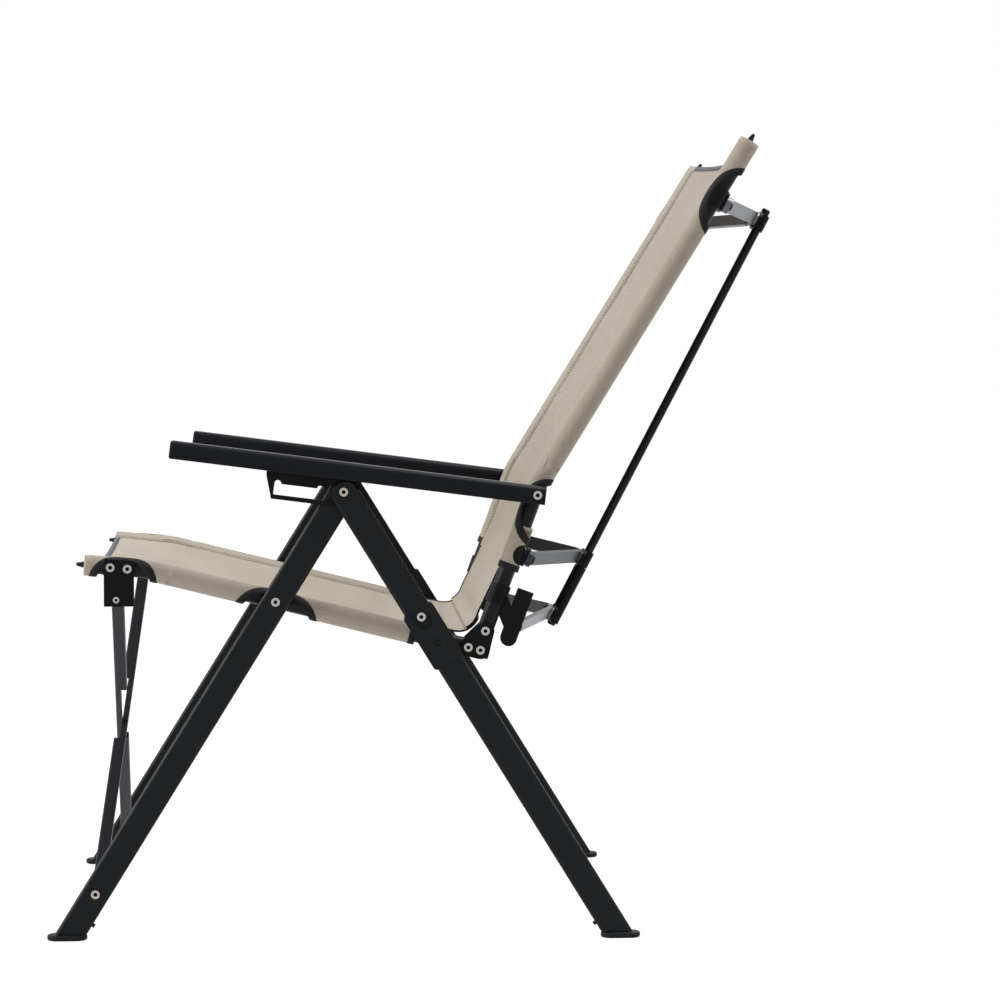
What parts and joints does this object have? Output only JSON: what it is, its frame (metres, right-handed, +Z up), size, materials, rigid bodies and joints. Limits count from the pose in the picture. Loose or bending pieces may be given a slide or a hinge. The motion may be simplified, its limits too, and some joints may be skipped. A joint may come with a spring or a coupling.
{
  "type": "folding camp chair",
  "caption": "Reclining high-back camp chair with a fabric sling on tubes, ribbed crossed legs, notched armrests and a bundle-fold linkage.",
  "frame": {"origin": "on the floor, under the middle of the open chair's box", "axes": "+Z up, +X to the rear, +Y to the sitter's right"},
  "size_m": [0.9104, 0.6084, 0.9686],
  "materials": {
    "leg_black": "ribbed extrusion, black anodised, satin",
    "tube_black": "round tube, black anodised, satin",
    "arm_black": "black anodised, fine brushed, satin",
    "moulding_black": "moulded nylon, fine grain",
    "plate_black": "black powder coat",
    "brace_black": "black anodised bar, satin",
    "rivet_steel": "plated tubular rivet",
    "link_grey": "grey anodised, brushed",
    "rod_black": "black powder coat",
    "sling_tan": "tan woven polyester with black binding"
  },
  "bodies": {
    "front_leg_left": {"front_leg_left": "leg_black", "front_foot_left": "moulding_black"},
    "rear_leg_left": {"rear_leg_left": "leg_black", "rear_foot_left": "moulding_black", "slide_stop_left": "rivet_steel", "leg_pivot_pin_left": "rivet_steel"},
    "slider_left": {"slider_left": "moulding_black"},
    "seat_left": {"seat_tube_left": "tube_black", "seat_cap_left": "moulding_black", "front_bracket_left": "plate_black", "hinge_plates_left": "plate_black", "seat_rivets_left": "rivet_steel", "seat_pivot_pin_left": "rivet_steel", "back_pivot_pin_left": "rivet_steel", "seat_sling": "sling_tan"},
    "back_left": {"back_tube_left": "tube_black", "back_cap_left": "moulding_black", "link_brackets_left": "plate_black", "arm_pivot_pin_left": "rivet_steel", "back_sling": "sling_tan"},
    "arm_left": {"armrest_left": "arm_black", "adjuster_plate_left": "plate_black"},
    "brace_knuckle_left": {"brace_knuckle_left": "brace_black", "brace_rivet_left": "rivet_steel"},
    "brace_bar_left": {"brace_bar_left": "brace_black"},
    "top_link_left": {"top_link_left": "link_grey"},
    "middle_link_left": {"middle_link_left": "link_grey"},
    "bottom_link_left": {"bottom_link_left": "link_grey"},
    "front_leg_right": {"front_leg_right": "leg_black", "front_foot_right": "moulding_black"},
    "rear_leg_right": {"rear_leg_right": "leg_black", "rear_foot_right": "moulding_black", "slide_stop_right": "rivet_steel", "leg_pivot_pin_right": "rivet_steel"},
    "slider_right": {"slider_right": "moulding_black"},
    "seat_right": {"seat_tube_right": "tube_black", "seat_cap_right": "moulding_black", "front_bracket_right": "plate_black", "hinge_plates_right": "plate_black", "seat_rivets_right": "rivet_steel", "seat_pivot_pin_right": "rivet_steel", "back_pivot_pin_right": "rivet_steel"},
    "back_right": {"back_tube_right": "tube_black", "back_cap_right": "moulding_black", "link_brackets_right": "plate_black", "arm_pivot_pin_right": "rivet_steel"},
    "arm_right": {"armrest_right": "arm_black", "adjuster_plate_right": "plate_black"},
    "brace_knuckle_right": {"brace_knuckle_right": "brace_black", "brace_rivet_right": "rivet_steel"},
    "brace_bar_right": {"brace_bar_right": "brace_black"},
    "top_link_right": {"top_link_right": "link_grey"},
    "middle_link_right": {"middle_link_right": "link_grey"},
    "bottom_link_right": {"bottom_link_right": "link_grey"},
    "spine": {"spine_rod": "rod_black", "top_hub": "plate_black", "middle_hub": "plate_black", "bottom_hub": "plate_black"}
  },
  "joints": [
    {"name": "fold", "type": "hinge", "parent": "front_leg_left", "child": "rear_leg_left", "pos_m": [-0.09895, -0.2852, 0.538], "axis": [0, 1, 0], "range_deg": [0, 55.4], "deforming": ["seat_sling", "back_sling"]},
    {"name": "slider_left_slide", "type": "slide", "parent": "rear_leg_left", "child": "slider_left", "axis": [0.5255, 0, -0.8508], "range_m": [0, 0.14009]},
    {"name": "seat_left_pivot", "type": "hinge", "parent": "front_leg_left", "child": "seat_left", "pos_m": [-0.18066, -0.2555, 0.4057], "axis": [0, 1, 0], "range_deg": [0, 93.66]},
    {"name": "back_left_fold", "type": "hinge", "parent": "seat_left", "child": "back_left", "pos_m": [0.07155, -0.2555, 0.36857], "axis": [0, 1, 0], "range_deg": [-88, 0]},
    {"name": "arm_left_fold", "type": "hinge", "parent": "back_left", "child": "arm_left", "pos_m": [0.13232, -0.2555, 0.53374], "axis": [0, 1, 0], "range_deg": [0, 104]},
    {"name": "brace_left_swivel", "type": "hinge", "parent": "front_leg_left", "child": "brace_knuckle_left", "pos_m": [-0.39689, -0.24, 0.05559], "axis": [0, 1, 0], "range_deg": [0, 18.95]},
    {"name": "brace_left_swing", "type": "hinge", "parent": "brace_knuckle_left", "child": "brace_bar_left", "pos_m": [-0.39689, -0.24, 0.05559], "axis": [0.9974, 0, -0.0726], "range_deg": [0, 43.88]},
    {"name": "top_link_left_swing", "type": "hinge", "parent": "back_left", "child": "top_link_left", "pos_m": [0.36726, -0.236, 0.88321], "axis": [0.8865, 0, -0.4627], "range_deg": [0, 75.27]},
    {"name": "spine_swing", "type": "hinge", "parent": "top_link_left", "child": "spine", "pos_m": [0.43289, -0.017, 0.87941], "axis": [0.8865, 0, -0.4627], "range_deg": [-75.27, 0]},
    {"name": "top_link_right_swing", "type": "hinge", "parent": "spine", "child": "top_link_right", "pos_m": [0.43289, 0.017, 0.87941], "axis": [0.8865, 0, -0.4627], "range_deg": [-75.27, 0]},
    {"name": "back_right_swing", "type": "hinge", "parent": "top_link_right", "child": "back_right", "pos_m": [0.36726, 0.236, 0.88321], "axis": [0.8865, 0, -0.4627], "range_deg": [0, 75.27]},
    {"name": "middle_link_left_swing", "type": "hinge", "parent": "back_left", "child": "middle_link_left", "pos_m": [0.12638, -0.236, 0.45388], "axis": [0.8865, 0, -0.4627], "range_deg": [0, 75.27]},
    {"name": "middle_link_right_swing", "type": "hinge", "parent": "back_right", "child": "middle_link_right", "pos_m": [0.12638, 0.236, 0.45388], "axis": [0.8865, 0, -0.4627], "range_deg": [-75.27, 0]},
    {"name": "bottom_link_left_swing", "type": "hinge", "parent": "back_left", "child": "bottom_link_left", "pos_m": [0.11052, -0.236, 0.37022], "axis": [0.8865, 0, -0.4627], "range_deg": [0, 75.27]},
    {"name": "bottom_link_right_swing", "type": "hinge", "parent": "back_right", "child": "bottom_link_right", "pos_m": [0.11052, 0.236, 0.37022], "axis": [0.8865, 0, -0.4627], "range_deg": [-75.27, 0]},
    {"name": "back_right_fold", "type": "hinge", "parent": "back_right", "child": "seat_right", "pos_m": [0.07155, 0.2555, 0.36857], "axis": [0, 1, 0], "range_deg": [0, 88]},
    {"name": "seat_right_pivot", "type": "hinge", "parent": "seat_right", "child": "front_leg_right", "pos_m": [-0.18066, 0.2555, 0.4057], "axis": [0, 1, 0], "range_deg": [-93.66, 0]},
    {"name": "rear_leg_right_fold", "type": "hinge", "parent": "front_leg_right", "child": "rear_leg_right", "pos_m": [-0.09895, 0.2852, 0.538], "axis": [0, 1, 0], "range_deg": [0, 55.4]},
    {"name": "slider_right_slide", "type": "slide", "parent": "rear_leg_right", "child": "slider_right", "axis": [0.5255, 0, -0.8508], "range_m": [0, 0.14009]},
    {"name": "arm_right_fold", "type": "hinge", "parent": "back_right", "child": "arm_right", "pos_m": [0.13232, 0.2555, 0.53374], "axis": [0, 1, 0], "range_deg": [0, 104]},
    {"name": "brace_right_swivel", "type": "hinge", "parent": "front_leg_right", "child": "brace_knuckle_right", "pos_m": [-0.39689, 0.24, 0.05559], "axis": [0, 1, 0], "range_deg": [0, 18.95]},
    {"name": "brace_right_swing", "type": "hinge", "parent": "brace_knuckle_right", "child": "brace_bar_right", "pos_m": [-0.39689, 0.24, 0.05559], "axis": [0.9974, 0, -0.0726], "range_deg": [-43.88, 0]}
  ],
  "couplings": [
    {"joint": "slider_left_slide", "follows": "fold", "m_per_rad": 0.14489},
    {"joint": "seat_left_pivot", "follows": "fold", "ratio": 1.6906},
    {"joint": "back_left_fold", "follows": "fold", "ratio": -1.5884},
    {"joint": "arm_left_fold", "follows": "fold", "ratio": 1.8773},
    {"joint": "brace_left_swivel", "follows": "fold", "ratio": 0.34213},
    {"joint": "brace_left_swing", "follows": "fold", "ratio": 0.79207},
    {"joint": "top_link_left_swing", "follows": "fold", "ratio": 1.3587},
    {"joint": "spine_swing", "follows": "fold", "ratio": -1.3587},
    {"joint": "top_link_right_swing", "follows": "fold", "ratio": -1.3587},
    {"joint": "back_right_swing", "follows": "fold", "ratio": 1.3587},
    {"joint": "middle_link_left_swing", "follows": "fold", "ratio": 1.3587},
    {"joint": "middle_link_right_swing", "follows": "fold", "ratio": -1.3587},
    {"joint": "bottom_link_left_swing", "follows": "fold", "ratio": 1.3587},
    {"joint": "bottom_link_right_swing", "follows": "fold", "ratio": -1.3587},
    {"joint": "back_right_fold", "follows": "fold", "ratio": 1.5884},
    {"joint": "seat_right_pivot", "follows": "fold", "ratio": -1.6906},
    {"joint": "rear_leg_right_fold", "follows": "fold", "ratio": 1},
    {"joint": "slider_right_slide", "follows": "fold", "m_per_rad": 0.14489},
    {"joint": "arm_right_fold", "follows": "fold", "ratio": 1.8773},
    {"joint": "brace_right_swivel", "follows": "fold", "ratio": 0.34213},
    {"joint": "brace_right_swing", "follows": "fold", "ratio": -0.79207}
  ]
}
